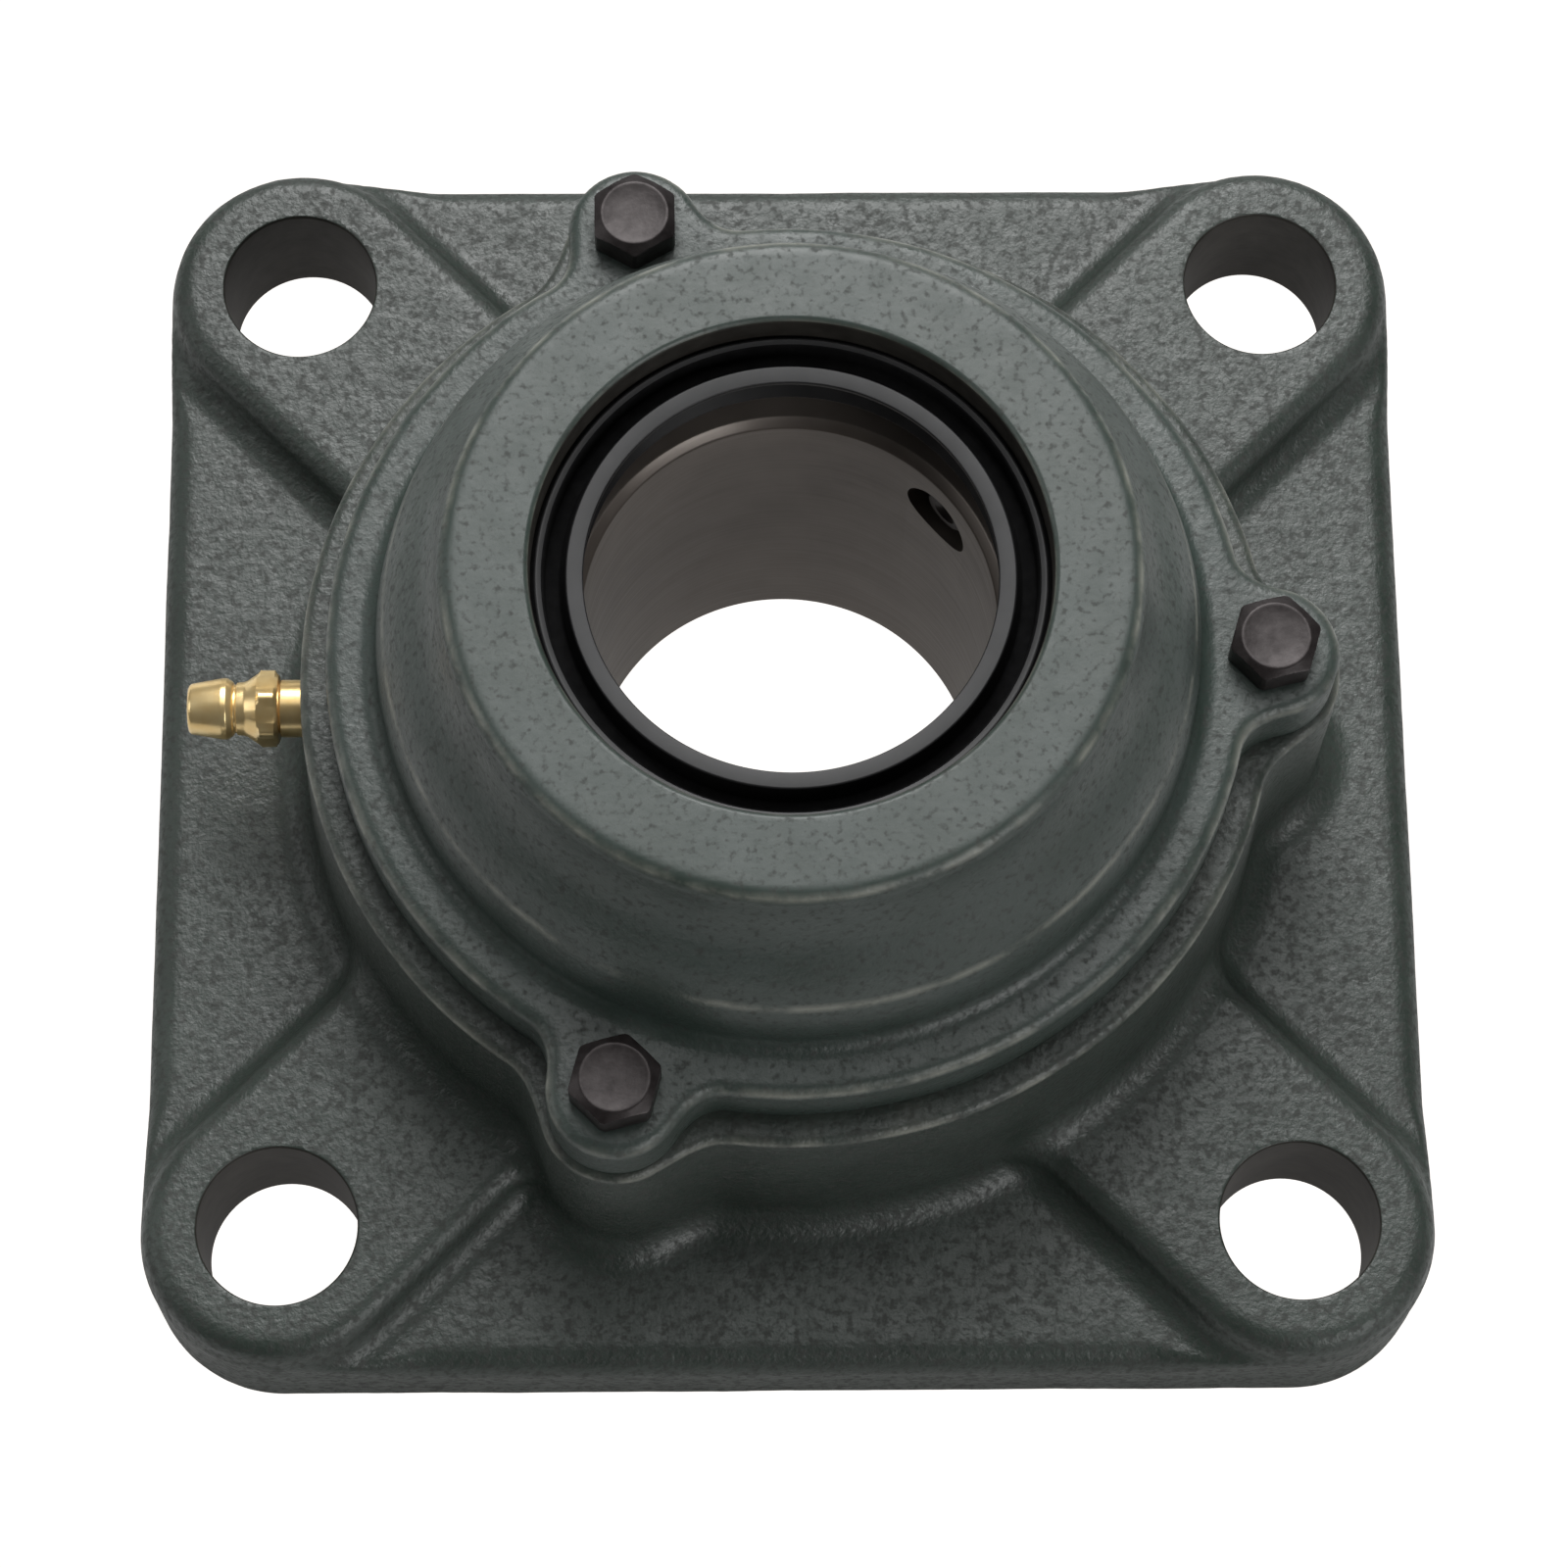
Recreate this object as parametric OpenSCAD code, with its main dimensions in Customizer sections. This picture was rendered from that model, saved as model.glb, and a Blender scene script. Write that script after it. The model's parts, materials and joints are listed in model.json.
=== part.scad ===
// Four-bolt square flange unit: a cast housing with a self-aligning insert ball bearing,
// closed at the front by a cast open-end cover with a shaft seal.
// Frame: origin at the centre of the mounting face, +Z along the bore towards the cover.

/* [Flange plate] */
// Side of the square mounting plate
plate_w = 130; // [126:1:134]
// Thickness of the plate between its bosses
plate_t = 11; // [10:0.2:12]
// Distance between neighbouring bolt holes
bolt_pitch = 102; // [100:0.5:103]
// Diameter of each bolt hole
bolt_hole_d = 16; // [14:0.5:17]
// Height of the bolt bosses and of the raised diagonal pads
boss_h = 15.5; // [12:0.5:18]
// Diameter of each bolt boss, which also rounds the corner of the plate
boss_d = 28; // [26:0.5:28]

/* [Housing hub] */
// Diameter of the hub at its front face
hub_d = 96.6; // [94:0.2:98]
// Height of the hub's front face above the mounting face
hub_h = 36; // [35:0.5:38]
// How much the hub's radius grows from its front face down to the plate
hub_draft = 1; // [0:0.2:1.4]
// Radius of the fillet where the hub meets the plate
hub_fillet = 4; // [2:0.5:5]
// Height of the bearing's centre above the mounting face
seat_z = 21; // [20.5:0.5:21.5]
// Diameter of the hole behind and in front of the spherical seat
seat_hole_d = 77; // [76.5:0.1:77.5]

/* [Cover] */
// Diameter of the cover's flange
cover_d = 90.6; // [89:0.2:92]
// Thickness of the cover's flange
cover_flange_t = 7; // [6:0.5:8]
// Total height of the unit
total_h = 66; // [65:0.5:68]
// Diameter of the shaft hole in the cover, which holds the seal
cover_hole_d = 49; // [48:0.2:50]
// Diameter of the flat annular face at the front of the cover
cover_face_d = 63.2; // [60:0.2:65]
// Thickness of the cover's side wall
cover_wall = 4.6; // [4:0.2:5]
// Radius of each screw ear on the cover
cover_ear_r = 6.8; // [6:0.1:7]
// Radius of each matching ear on the housing
hub_ear_r = 7.6; // [7:0.1:7.8]
// Distance of the cover screws from the bore axis
screw_circle_r = 47.3; // [46.5:0.1:48]
// Directions of the cover screws around the bore axis
screw_angles = [-0.4, 108.5, 249.2];
// How far each screw's hexagon is turned in its place
screw_turns = [14, 42, 6];

/* [Insert bearing] */
// Diameter of the shaft bore
bore_d = 40; // [40:40]
// Outer diameter of the inner ring
inner_ring_d = 52.4; // [52:0.2:52.6]
// Width of the inner ring
inner_ring_w = 49.2; // [48:0.2:50]
// Distance from the bearing's centre to the rear end of the inner ring
inner_ring_rear = 19; // [18:0.5:20]
// Diameter of the outer ring's spherical outside
outer_ring_d = 80; // [80:80]
// Width of the outer ring
outer_ring_w = 21; // [20:0.5:21]
// Ball diameter
ball_d = 11.906; // [11.9:0.002:11.91]
// Diameter of the circle through the ball centres
ball_circle_d = 60; // [60:60]
// Number of balls
ball_count = 9; // [9:9]
// Gap left between the spherical seat and the outer ring
seat_gap = 0.03; // [0.02:0.01:0.05]
// Gap left between a ball and the bottom of each raceway
race_gap = 0.025; // [0.02:0.005:0.04]

/* [Set screws] */
// Thread diameter of the set screws
set_screw_d = 8; // [8:8]
// Length of each set screw
set_screw_len = 8; // [7:0.5:9]
// Distance from the front end of the inner ring to the set screws
set_screw_setback = 8; // [8:0.5:9]
// Direction of the first set screw around the bore axis
set_screw_angle = 42; // [0:1:120]
// Angle between the two set screws
set_screw_spread = 120; // [120:120]
// How far each set screw's tip is backed off outside the bore wall
set_screw_back_off = 0.8; // [0.6:0.1:1.5]

/* [Grease nipple] */
// Height of the nipple's axis above the mounting face
nipple_z = 25.4; // [25:0.2:27]
// Distance of the nipple's tip from the bore axis
nipple_tip = 60.2; // [59:0.2:61]
// Width across flats of the nipple's hexagon
nipple_af = 7; // [6.3:0.1:7.2]

/* [Hidden] */
$fn = 96;
BALL_NAMES = ["ball_1", "ball_2", "ball_3", "ball_4", "ball_5", "ball_6", "ball_7", "ball_8", "ball_9"];

eps = 0.01;
over = 1;
paint = "#6f7874";
black_oxide = "#3a3432";
steel = "#8d8a86";
bright_steel = "#b9b9bb";
zinc = "#a2a39a";
brass = "#d8b356";
rubber = "#1b1c1d";

hub_r = hub_d / 2;
bolt_at = bolt_pitch / 2;
pad_w = boss_d - 1;
cover_r = cover_d / 2;
flange_top = hub_h + cover_flange_t;
ear_fillet = 4;

// The cover's spigot drops into a counterbore in the hub.
spigot_r = 42;
spigot_gap = 0.1;
spigot_wall = 2.7;
counterbore_z = 32;
spigot_z = counterbore_z + 0.3;

// The hat of the cover, from its root to its front face.
hat_root_r = 40.2;
hat_root_fillet = 1.6;
shoulder_r = 39.5;
shoulder_z = 51.6;
shoulder_round = 2.2;
neck_r = 33.6;
neck_z = 60.4;
rim_r = 33.2;
rim_z = total_h - 1.3;

// Cover screws.
screw_d = 5;
screw_af = 8;
screw_head_h = 3.6;
screw_len = 14;
screw_hole_deep = 16;

// Shaft seal in the cover.
seal_top = 62.9;
seal_h = 6.9;
seal_lip_r = bore_d / 2 + 0.15;

// Bearing details.
ball_r = ball_d / 2;
ball_circle_r = ball_circle_d / 2;
race_r = 0.515 * ball_d;
outer_land_r = 33.9;
seal_seat_r = 35.2;
seal_seat_depth = 2.1;
ring_front = seat_z + outer_ring_w / 2;
inner_z0 = seat_z - inner_ring_rear;
inner_z1 = inner_z0 + inner_ring_w;
inner_r = inner_ring_d / 2;
grease_groove_z = [25.3, 28.3];
grease_groove_r = outer_ring_d / 2 - 1.1;
grease_hole_z = 27.3;

// Cage.
cage_in_r = 27.7;
cage_out_r = 32.4;
cage_sheet = 0.9;
pocket_r = ball_r + 0.12;
rivet_r = 0.8;
rivet_head_r = 1.4;
rivet_head_h = 0.55;

// Set screws.
set_screw_z = inner_z1 - set_screw_setback;
set_screw_gap = 0.04;
set_socket_af = 4;
set_socket_deep = 4;

// Grease nipple, measured along its own axis from its inner end.
nipple_inner_x = 44;
nipple_len = nipple_tip - nipple_inner_x;
nipple_thread_r = 2.9;
hub_spot_x = 47.7;
nipple_bore_r = 1.5;
check_ball_r = 1.4;
check_ball_at = nipple_len - 1.82;
spring_mean_r = 1.15;
spring_wire_r = 0.2;
spring_turns = 7;
spring_from = 1.02;
spring_to = check_ball_at - 1.08;

// ---- helpers ----

// Places its children on the axis of each cover screw.
module at_each_screw() {
    for (a = screw_angles) rotate([0, 0, a]) translate([screw_circle_r, 0, 0]) children();
}

// Centre of the fillet circle that touches a ring and an ear from outside, on side s.
function fillet_centre(ring_r, ear_r, f, s) =
    let (
        to_ring = ring_r + f,
        to_ear = ear_r + f,
        d = screw_circle_r,
        a = acos((to_ring * to_ring + d * d - to_ear * to_ear) / (2 * to_ring * d))
    )
    [to_ring * cos(a), s * to_ring * sin(a)];

// Points of an arc about c from angle a0 to a1.
function arc(c, r, a0, a1, steps) =
    [for (i = [0 : steps]) let (a = a0 + (a1 - a0) * i / steps) c + r * [cos(a), sin(a)]];

// One ear with its two concave fillets towards a ring.
module ear_outline(ring_r, ear_r) {
    f1 = fillet_centre(ring_r, ear_r, ear_fillet, 1);
    f2 = fillet_centre(ring_r, ear_r, ear_fillet, -1);
    translate([screw_circle_r, 0]) circle(ear_r);
    difference() {
        polygon([[ring_r / 2, 0], f2, [screw_circle_r, 0], f1]);
        translate(f1) circle(ear_fillet);
        translate(f2) circle(ear_fillet);
    }
}

// A ring outline with its three screw ears.
module eared_outline(ring_r, ear_r) {
    circle(ring_r);
    for (a = screw_angles) rotate([0, 0, a]) ear_outline(ring_r, ear_r);
}

// A hexagonal prism with its corners turned off at the top.
module hex_head(af, h) {
    corner_r = af / 2 / cos(30);
    intersection() {
        cylinder(r = corner_r, h = h, $fn = 6);
        rotate_extrude() polygon([
            [0, 0], [corner_r + eps, 0], [corner_r + eps, h - 0.9], [af / 2 - 0.6, h], [0, h]
        ]);
    }
}

// A ring with a rectangular section.
module band(r_in, r_out, z0, z1) {
    translate([0, 0, z0]) difference() {
        cylinder(r = r_out, h = z1 - z0);
        translate([0, 0, -over]) cylinder(r = r_in, h = z1 - z0 + 2 * over);
    }
}

// A helix of round wire along Z, as one closed surface.
module coil_spring(mean_r, wire_r, length, turns) {
    sides = 8;
    rings = 14 * turns;
    pts = [
        for (i = [0 : rings], k = [0 : sides - 1])
            let (
                t = 360 * turns * i / rings,
                a = 360 * k / sides,
                r = mean_r + wire_r * cos(a),
                z = wire_r + (length - 2 * wire_r) * i / rings + wire_r * sin(a)
            )
            [r * cos(t), r * sin(t), z]
    ];
    walls = [
        for (i = [0 : rings - 1], k = [0 : sides - 1])
            let (n = (k + 1) % sides)
            [i * sides + k, (i + 1) * sides + k, (i + 1) * sides + n, i * sides + n]
    ];
    start = [[for (k = [0 : sides - 1]) k]];
    end = [[for (k = [sides - 1 : -1 : 0]) rings * sides + k]];
    polyhedron(points = pts, faces = concat(walls, start, end), convexity = 8);
}

// ---- housing ----

module plate_outline() {
    square([plate_w, 2 * bolt_at], center = true);
    square([2 * bolt_at, plate_w], center = true);
    for (x = [-bolt_at, bolt_at], y = [-bolt_at, bolt_at]) translate([x, y]) circle(d = boss_d);
}

// Four bosses, joined in pairs across the hub by raised pads along the diagonals.
module boss_outline() {
    for (x = [-bolt_at, bolt_at], y = [-bolt_at, bolt_at]) translate([x, y]) circle(d = boss_d);
    for (a = [45, 135]) rotate(a) square([2 * bolt_at * sqrt(2), pad_w], center = true);
}

module hub_body() {
    foot_r = hub_r + hub_draft;
    rotate_extrude() {
        polygon([[0, 0], [foot_r, 0], [foot_r, plate_t], [hub_r, hub_h], [0, hub_h]]);
        difference() {
            translate([foot_r - over, 0]) square([hub_fillet + over, plate_t + hub_fillet]);
            translate([foot_r + hub_fillet, plate_t + hub_fillet]) circle(hub_fillet);
        }
    }
    linear_extrude(hub_h) for (a = screw_angles) rotate([0, 0, a]) ear_outline(hub_r, hub_ear_r);
}

// Spherical seat, the holes on both sides of it, and the cover's counterbore.
module seat_cut() {
    translate([0, 0, seat_z]) sphere(r = outer_ring_d / 2 + seat_gap, $fn = 160);
    translate([0, 0, -over]) cylinder(d = seat_hole_d, h = hub_h);
    translate([0, 0, -eps]) cylinder(d1 = seat_hole_d + 3, d2 = seat_hole_d, h = 1.5);
    translate([0, 0, counterbore_z]) cylinder(r = spigot_r, h = hub_h);
}

// Two slots through which the outer ring is turned into its seat from behind.
module loading_slots() {
    slot_l = outer_ring_d + 0.8;
    slot_w = outer_ring_w + 0.8;
    translate([-slot_l / 2, -slot_w / 2, -over]) cube([slot_l, slot_w, seat_z + over]);
}

module grease_port() {
    translate([0, 0, nipple_z]) rotate([0, -90, 0]) {
        translate([0, 0, 36]) cylinder(r = 1.2, h = 12);
        translate([0, 0, nipple_inner_x]) cylinder(r = nipple_thread_r, h = 10);
        translate([0, 0, hub_spot_x]) cylinder(r = 4.4, h = 10);
    }
}

module housing() {
    color(paint) difference() {
        union() {
            linear_extrude(plate_t) plate_outline();
            linear_extrude(boss_h) boss_outline();
            hub_body();
        }
        seat_cut();
        loading_slots();
        grease_port();
        for (x = [-bolt_at, bolt_at], y = [-bolt_at, bolt_at])
            translate([x, y, -over]) cylinder(d = bolt_hole_d, h = boss_h + 2 * over);
        at_each_screw() translate([0, 0, hub_h - screw_hole_deep])
            cylinder(d = screw_d, h = screw_hole_deep + over);
    }
}

// ---- cover ----

function hat_outline() = concat(
    [[0, hub_h + 0.2], [hat_root_r + hat_root_fillet, hub_h + 0.2]],
    arc([hat_root_r + hat_root_fillet, flange_top + hat_root_fillet], hat_root_fillet, 270, 180, 5),
    arc([shoulder_r - shoulder_round, shoulder_z], shoulder_round, 0, 55, 5),
    arc([neck_r + 4, neck_z + 0.6], 4, 235, 180, 5),
    [[rim_r, rim_z], [cover_face_d / 2, total_h], [0, total_h]]
);

// Cavity that clears the inner ring, its set screws and the tilting flingers.
function cavity_outline() =
    let (
        side_r = shoulder_r - cover_wall,
        ceiling_z = seal_top - seal_h
    )
    [
        [0, spigot_z - over],
        [spigot_r - spigot_gap - spigot_wall, spigot_z - over],
        [spigot_r - spigot_gap - spigot_wall, hub_h],
        [side_r, hub_h + 2.5],
        [side_r, shoulder_z - 0.5],
        [neck_r - cover_wall, ceiling_z],
        [0, ceiling_z]
    ];

module front_cover() {
    color(paint) difference() {
        union() {
            translate([0, 0, hub_h]) linear_extrude(cover_flange_t) eared_outline(cover_r, cover_ear_r);
            rotate_extrude() polygon(hat_outline());
            translate([0, 0, spigot_z]) cylinder(r = spigot_r - spigot_gap, h = hub_h - spigot_z + over);
        }
        rotate_extrude() polygon(cavity_outline());
        translate([0, 0, seal_top - seal_h - over]) cylinder(d = cover_hole_d, h = total_h);
        translate([0, 0, total_h - 0.6]) cylinder(d1 = cover_hole_d, d2 = cover_hole_d + 1.4, h = 0.7);
        at_each_screw() translate([0, 0, hub_h - over]) cylinder(d = screw_d + 0.6, h = total_h);
    }
}

module cover_screws() {
    color(black_oxide) {
        at_each_screw() translate([0, 0, flange_top - screw_len])
            cylinder(d = screw_d, h = screw_len + eps);
        for (i = [0 : 2]) rotate([0, 0, screw_angles[i]]) translate([screw_circle_r, 0, flange_top])
            rotate([0, 0, screw_turns[i]]) hex_head(screw_af, screw_head_h);
    }
}

// ---- shaft seal in the cover ----

// Section of the pressed steel case that stiffens the seal.
module seal_case_section() {
    case_r = cover_hole_d / 2 - 0.5;
    z0 = seal_top - seal_h + 0.6;
    polygon([
        [case_r, z0], [case_r, seal_top - 3], [22.4, seal_top - 3], [22.4, seal_top - 3.6],
        [case_r - 0.6, seal_top - 3.6], [case_r - 0.6, z0]
    ]);
}

// Where the garter spring sits, on the back of the main lip.
garter_at = [22, 58.3];
garter_r = 0.65;

module cover_seal_rubber() {
    out_r = cover_hole_d / 2;
    z0 = seal_top - seal_h;
    color(rubber) rotate_extrude() difference() {
        polygon([
            [out_r, z0], [out_r, seal_top - 0.5], [out_r - 0.4, seal_top],
            [23.3, seal_top], [23.1, seal_top - 2], [21.9, seal_top - 2],
            [21.2, seal_top], [seal_lip_r, seal_top - 0.4], [seal_lip_r, seal_top - 0.9],
            [21.3, seal_top - 2.6], [seal_lip_r, 58.6], [20.5, 57.2], [22, 57.2],
            [22.1, seal_top - 3.9], [23.1, seal_top - 3.9], [23.1, z0]
        ]);
        seal_case_section();
        translate(garter_at) circle(garter_r);
    }
}

module cover_seal_case() {
    color(zinc) rotate_extrude() seal_case_section();
}

module cover_seal_spring() {
    color(steel) rotate_extrude() translate(garter_at) circle(garter_r);
}

// ---- grease nipple ----

module on_nipple_axis() {
    translate([-nipple_inner_x, 0, nipple_z]) rotate([0, -90, 0]) children();
}

module grease_nipple() {
    hex_at = 7.1;
    hex_h = 2.1;
    neck_at = 10.5;
    head_at = 11.4;
    stem_r = 2.7;
    head_r = 3.1;
    color(brass) on_nipple_axis() difference() {
        union() {
            rotate_extrude() polygon([
                [0, 0], [nipple_thread_r, 0], [nipple_thread_r, 6.9], [2.5, 7], [2.5, hex_at + eps],
                [nipple_af / 2, hex_at + eps], [nipple_af / 2, hex_at + hex_h], [stem_r, neck_at],
                [stem_r, head_at], [head_r, head_at + 0.6], [head_r, head_at + 1.1],
                [2.7, nipple_len - 0.5], [2.3, nipple_len], [0, nipple_len]
            ]);
            translate([0, 0, hex_at]) cylinder(r = nipple_af / 2 / cos(30), h = hex_h, $fn = 6);
        }
        translate([0, 0, 1]) cylinder(r = nipple_bore_r, h = nipple_len - 1.8);
        translate([0, 0, -over]) cylinder(r = 0.8, h = nipple_len + 2 * over);
        translate([0, 0, nipple_len - 0.8 - eps]) cylinder(r1 = 1, r2 = 0.8, h = 0.2);
    }
}

module nipple_ball() {
    color(bright_steel) on_nipple_axis() translate([0, 0, check_ball_at]) sphere(r = check_ball_r);
}

module nipple_spring() {
    color(steel) on_nipple_axis() translate([0, 0, spring_from])
        coil_spring(spring_mean_r, spring_wire_r, spring_to - spring_from, spring_turns);
}

// ---- insert bearing ----

module outer_ring() {
    half_w = outer_ring_w / 2;
    race_at = ball_circle_r + ball_r + race_gap - race_r;
    groove_h = grease_groove_z[1] - grease_groove_z[0];
    color(steel) difference() {
        rotate_extrude($fn = 160) difference() {
            intersection() {
                translate([0, seat_z]) circle(d = outer_ring_d, $fn = 160);
                translate([outer_land_r, seat_z - half_w]) square([10, outer_ring_w]);
            }
            translate([race_at, seat_z]) circle(race_r);
            for (z = [seat_z - half_w - over, seat_z + half_w - seal_seat_depth])
                translate([outer_land_r - over, z])
                    square([seal_seat_r - outer_land_r + over, seal_seat_depth + over]);
            translate([grease_groove_r, grease_groove_z[0]]) square([5, groove_h]);
        }
        translate([0, 0, grease_hole_z]) rotate([0, -90, 0])
            translate([0, 0, outer_land_r - 2]) cylinder(r = 0.8, h = 10);
    }
}

// Pressed steel shield and its rubber lip, in the front half of the outer ring.
module seal_plate() {
    z1 = ring_front - 1.3;
    z0 = ring_front - seal_seat_depth;
    color(zinc) band(28.2, seal_seat_r, z0, z1);
}

module seal_lip() {
    z1 = ring_front - 1.1;
    z0 = ring_front - seal_seat_depth - 0.2;
    color(rubber) rotate_extrude() polygon([
        [28.2, z0], [28.2, z1], [27.2, z1], [inner_r + 0.12, z1 - 0.2], [inner_r + 0.12, z1 - 0.5],
        [27.4, z1 - 0.8], [27.4, z0]
    ]);
}

// Thin flinger disc with a short collar, pressed on the inner ring just outside the seal.
module flinger() {
    z0 = ring_front - 0.85;
    color(steel) difference() {
        union() {
            band(inner_r, 34.6, z0, z0 + 0.7);
            band(inner_r, inner_r + 0.8, z0, z0 + 2.6);
        }
    }
}

// The rear half of the bearing mirrors the front half about the ball plane.
module mirrored_to_rear() {
    translate([0, 0, 2 * seat_z]) mirror([0, 0, 1]) children();
}

module front_seal_plate() { seal_plate(); }

module front_seal_lip() { seal_lip(); }

module rear_seal_plate() { mirrored_to_rear() seal_plate(); }

module rear_seal_lip() { mirrored_to_rear() seal_lip(); }

module front_flinger() { flinger(); }

module rear_flinger() { mirrored_to_rear() flinger(); }

module inner_ring() {
    race_at = ball_circle_r - ball_r - race_gap + race_r;
    edge = 0.6;
    mouth = 0.9;
    color(black_oxide) difference() {
        rotate_extrude() difference() {
            polygon([
                [bore_d / 2 + mouth, inner_z0], [inner_r - edge, inner_z0], [inner_r, inner_z0 + edge],
                [inner_r, inner_z1 - edge], [inner_r - edge, inner_z1], [bore_d / 2 + mouth, inner_z1],
                [bore_d / 2, inner_z1 - mouth], [bore_d / 2, inner_z0 + mouth]
            ]);
            translate([race_at, seat_z]) circle(race_r);
        }
        for (i = [0, 1]) set_screw_axis(i) translate([0, 0, bore_d / 2 - 2])
            cylinder(d = set_screw_d, h = 12);
    }
}

// Z runs outwards from the bore axis along set screw number i.
module set_screw_axis(i) {
    translate([0, 0, set_screw_z]) rotate([0, 0, set_screw_angle - i * set_screw_spread])
        rotate([0, 90, 0]) children();
}

module set_screw(i) {
    r = set_screw_d / 2 - set_screw_gap;
    tip = bore_d / 2 + set_screw_back_off;
    socket_r = set_socket_af / 2 / cos(30);
    color(black_oxide) set_screw_axis(i) translate([0, 0, tip]) difference() {
        rotate_extrude() polygon([
            [0, 0.8], [1.4, 0], [2.2, 0], [r, 1.4], [r, set_screw_len - 0.6], [r - 0.6, set_screw_len],
            [0, set_screw_len]
        ]);
        translate([0, 0, set_screw_len - set_socket_deep])
            cylinder(r = socket_r, h = set_socket_deep + over, $fn = 6);
    }
}

module set_screw_1() { set_screw(0); }

module set_screw_2() { set_screw(1); }

// ---- balls and cage ----

module at_ball(i) {
    rotate([0, 0, i * 360 / ball_count]) translate([ball_circle_r, 0, seat_z]) children();
}

module at_rivet(i) {
    rotate([0, 0, (i + 0.5) * 360 / ball_count]) translate([ball_circle_r, 0, seat_z]) children();
}

module bearing_ball(i) {
    color(bright_steel) at_ball(i) sphere(r = ball_r);
}

// One pressed half of the ribbon cage, on the front side of the ball plane.
module cage_half() {
    color(zinc) difference() {
        intersection() {
            union() {
                band(cage_in_r, cage_out_r, seat_z, seat_z + cage_sheet);
                for (i = [0 : ball_count - 1]) at_ball(i) sphere(r = pocket_r + cage_sheet, $fn = 48);
            }
            band(cage_in_r, cage_out_r, seat_z, seat_z + 10);
        }
        for (i = [0 : ball_count - 1]) {
            at_ball(i) sphere(r = pocket_r, $fn = 48);
            at_rivet(i) translate([0, 0, -over]) cylinder(r = rivet_r, h = 4, $fn = 24);
        }
    }
}

module cage_front() { cage_half(); }

module cage_rear() { mirrored_to_rear() cage_half(); }

module cage_rivets() {
    color(steel) for (i = [0 : ball_count - 1]) at_rivet(i) {
        translate([0, 0, -cage_sheet]) cylinder(r = rivet_r, h = 2 * cage_sheet, $fn = 24);
        for (z = [cage_sheet, -cage_sheet - rivet_head_h])
            translate([0, 0, z]) cylinder(r = rivet_head_r, h = rivet_head_h, $fn = 24);
    }
}

// ---- the assembly ----

housing();
front_cover();
cover_screws();
cover_seal_rubber();
cover_seal_case();
cover_seal_spring();
grease_nipple();
nipple_ball();
nipple_spring();
outer_ring();
front_seal_plate();
front_seal_lip();
rear_seal_plate();
rear_seal_lip();
inner_ring();
front_flinger();
rear_flinger();
set_screw_1();
set_screw_2();
cage_front();
cage_rear();
cage_rivets();
for (i = [0 : ball_count - 1]) {
    bearing_ball(i);
}
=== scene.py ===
"""Looks of a four-bolt square flange bearing unit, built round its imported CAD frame.

Sizes here are in millimetres, and become metres when a mesh is made. The origin is the centre of
the mounting face, +Z runs along the bore towards the cover, and the grease nipple points along -X.
"""

import itertools
import json
import math

import bmesh
import bpy
import numpy as np
from mathutils import Matrix, Vector


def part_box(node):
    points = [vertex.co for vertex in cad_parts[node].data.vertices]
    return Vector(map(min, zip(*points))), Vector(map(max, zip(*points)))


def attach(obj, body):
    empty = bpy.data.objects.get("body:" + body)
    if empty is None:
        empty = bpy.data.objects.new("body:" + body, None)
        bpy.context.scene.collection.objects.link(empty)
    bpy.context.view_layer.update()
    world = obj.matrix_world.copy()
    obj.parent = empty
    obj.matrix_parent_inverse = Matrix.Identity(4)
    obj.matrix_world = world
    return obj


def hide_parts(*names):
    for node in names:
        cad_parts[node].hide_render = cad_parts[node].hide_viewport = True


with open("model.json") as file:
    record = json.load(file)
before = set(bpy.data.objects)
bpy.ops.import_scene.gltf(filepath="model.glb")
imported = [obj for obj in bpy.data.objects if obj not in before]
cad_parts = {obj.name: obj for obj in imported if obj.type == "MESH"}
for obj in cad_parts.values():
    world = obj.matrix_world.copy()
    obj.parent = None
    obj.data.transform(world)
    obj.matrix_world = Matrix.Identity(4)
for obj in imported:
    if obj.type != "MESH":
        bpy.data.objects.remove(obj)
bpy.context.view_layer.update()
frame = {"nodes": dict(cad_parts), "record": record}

MM = 0.001
MOUNTS = {mount["name"]: mount for mount in frame["record"]["mounts"]}


def box_mm(node):
    """Lowest and highest corner of a CAD node, in millimetres."""
    low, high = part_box(node)
    return low / MM, high / MM


# ---- sizes read from the frame ----

PLATE_HALF = box_mm("housing")[1].x
HUB_TOP = box_mm("housing")[1].z
COVER_TOP = box_mm("front_cover")[1].z
SPIGOT_FOOT = box_mm("front_cover")[0].z
SEAL_FOOT = box_mm("cover_seal_rubber")[0].z
SEAL_TOP = box_mm("cover_seal_rubber")[1].z
SEAL_R = box_mm("cover_seal_rubber")[1].x
RING_REAR = box_mm("inner_ring")[0].z
RING_FRONT = box_mm("inner_ring")[1].z
INNER_R = box_mm("inner_ring")[1].x
OUTER_REAR = box_mm("outer_ring")[0].z
OUTER_FRONT = box_mm("outer_ring")[1].z
OUTER_R = box_mm("outer_ring")[1].x
SEAT_Z = (OUTER_REAR + OUTER_FRONT) / 2
SET_SCREW_Z = (box_mm("set_screw_1")[0].z + box_mm("set_screw_1")[1].z) / 2
NIPPLE_Z = (box_mm("grease_nipple")[0].z + box_mm("grease_nipple")[1].z) / 2
NIPPLE_TIP = -box_mm("grease_nipple")[0].x
NIPPLE_FOOT = -box_mm("grease_nipple")[1].x
SCREW_TOP = box_mm("cover_screws")[1].z
SCREW_FOOT = box_mm("cover_screws")[0].z
BORE_R = MOUNTS["shaft_bore"]["dims"]["r_mm"]
BOLT_AT = MOUNTS["mounting_bolts"]["dims"]["spacing_x_mm"] / 2
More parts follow.
